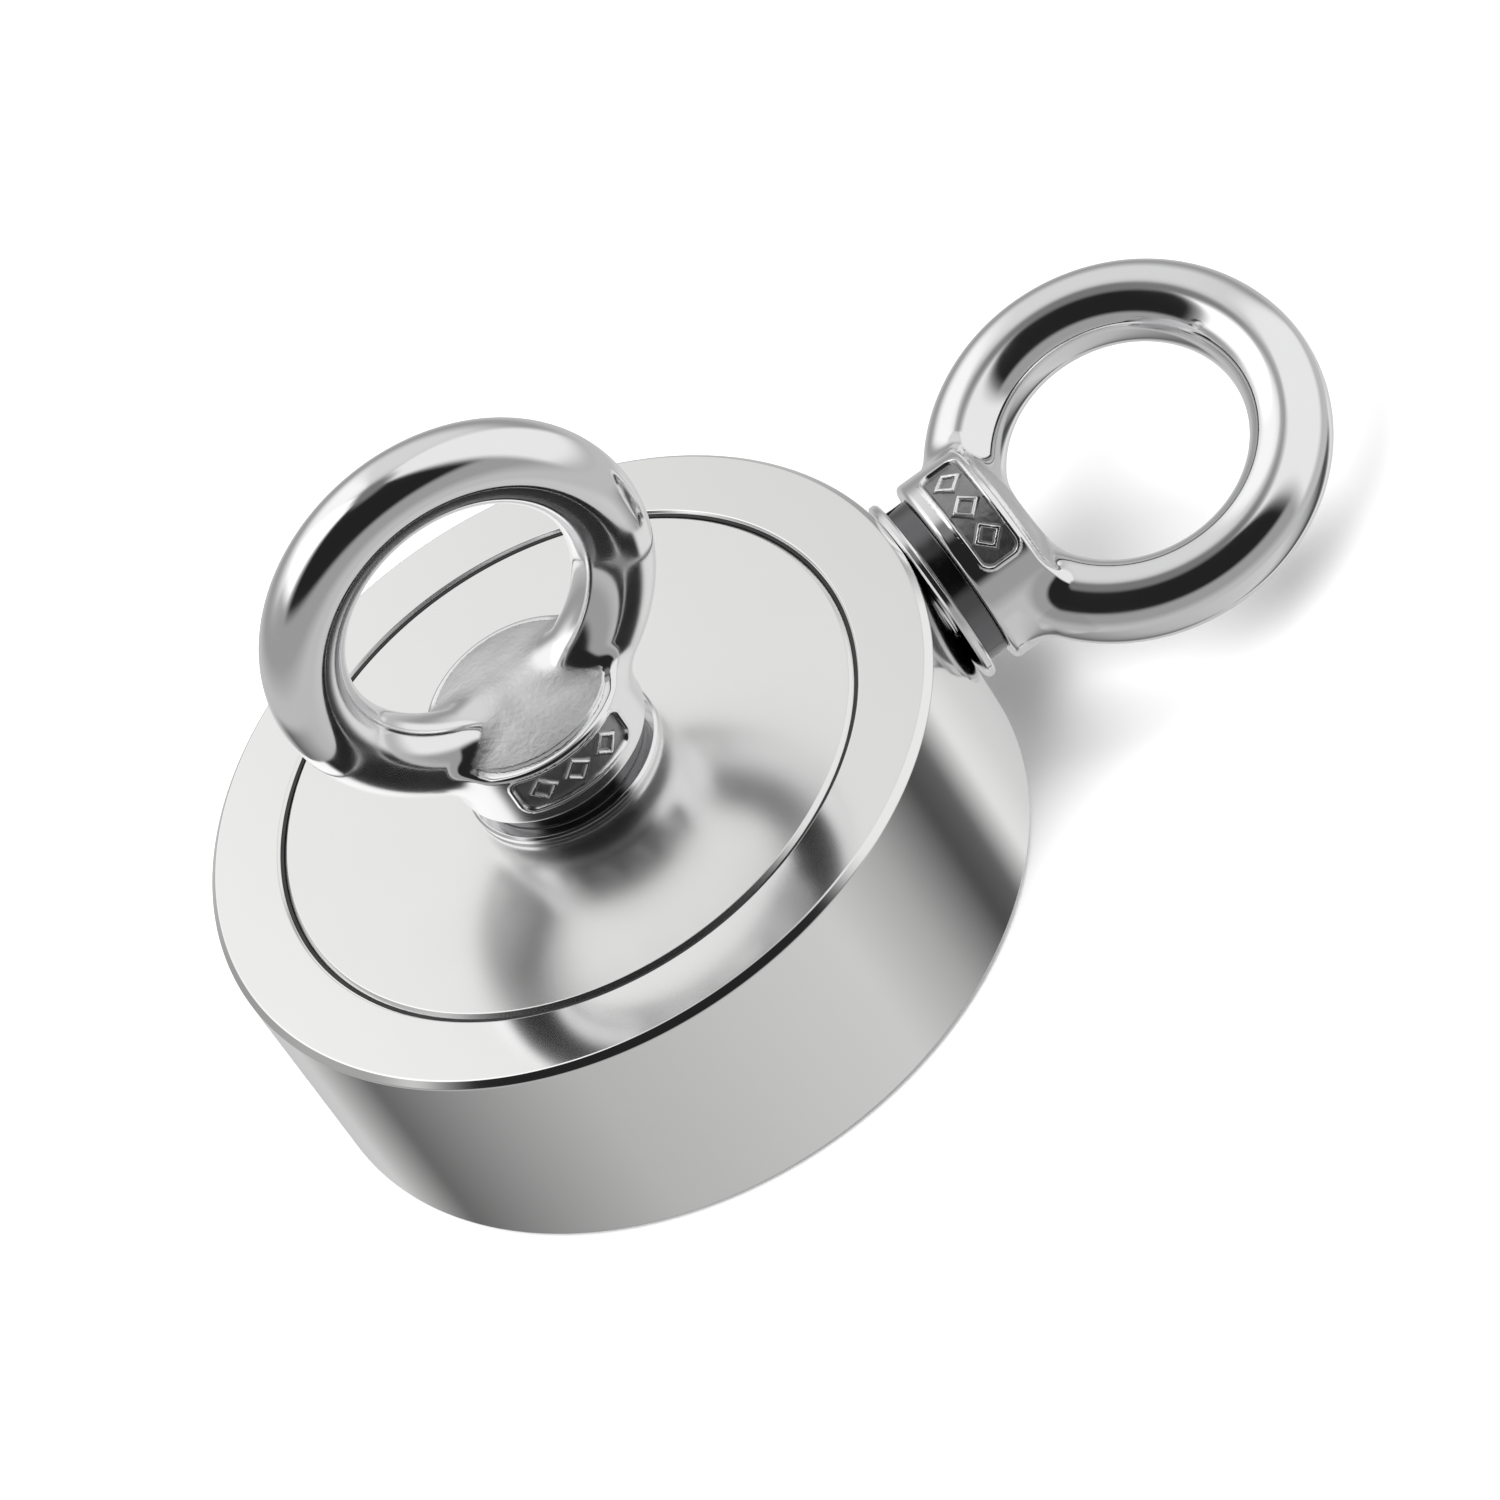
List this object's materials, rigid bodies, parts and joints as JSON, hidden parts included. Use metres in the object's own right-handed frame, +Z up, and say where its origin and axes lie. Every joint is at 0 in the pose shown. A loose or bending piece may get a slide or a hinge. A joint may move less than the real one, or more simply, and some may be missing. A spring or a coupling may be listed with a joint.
{
  "type": "magnet fishing magnet",
  "caption": "Round double-sided fishing magnet with a screw-in eyebolt in its upper face and another in its side wall.",
  "frame": {"origin": "centre of the lower face, at the mouth of the lower thread", "axes": "+Z up along the magnet's axis, towards the eyebolt in the upper face; +X out along the side eyebolt"},
  "size_m": [0.1485, 0.094, 0.0855],
  "materials": {
    "nickel_plate": "bright nickel plate on steel",
    "raw_steel": "machined steel",
    "magnet_alloy": "sintered magnet, thin nickel coat",
    "black_epoxy": "satin cast epoxy",
    "spring_steel": "dark tempered spring steel, oiled",
    "stainless": "polished stainless steel"
  },
  "bodies": {
    "magnet": {"outer_ring": "nickel_plate", "core_disc": "raw_steel", "threaded_hub": "nickel_plate", "lower_magnet": "magnet_alloy", "upper_magnet": "magnet_alloy", "lower_pole_plate": "nickel_plate", "upper_pole_plate": "nickel_plate", "lower_outer_epoxy": "black_epoxy", "upper_outer_epoxy": "black_epoxy", "lower_inner_epoxy": "black_epoxy", "upper_inner_epoxy": "black_epoxy"},
    "face_washers": {"face_spring_washer": "spring_steel", "face_flat_washer": "stainless"},
    "face_bolt": {"face_eyebolt": "stainless"},
    "side_washers": {"side_spring_washer": "spring_steel", "side_flat_washer": "stainless"},
    "side_bolt": {"side_eyebolt": "stainless"}
  },
  "joints": [
    {"name": "face_bolt_travel", "type": "slide", "parent": "magnet", "child": "face_washers", "axis": [0, 0, 1], "range_m": [0, 0.0175]},
    {"name": "face_bolt_turn", "type": "hinge", "parent": "face_washers", "child": "face_bolt", "pos_m": [0, 0, 0.031], "axis": [0, 0, 1], "range_deg": [0, 3601]},
    {"name": "side_bolt_travel", "type": "slide", "parent": "magnet", "child": "side_washers", "axis": [1, 0, 0], "range_m": [0, 0.0175]},
    {"name": "side_bolt_turn", "type": "hinge", "parent": "side_washers", "child": "side_bolt", "pos_m": [0.047, 0, 0.0185], "axis": [1, 0, 0], "range_deg": [0, 3601]}
  ],
  "couplings": [
    {"joint": "face_bolt_turn", "follows": "face_bolt_travel", "rad_per_m": 3590.4},
    {"joint": "side_bolt_turn", "follows": "side_bolt_travel", "rad_per_m": 3590.4}
  ]
}
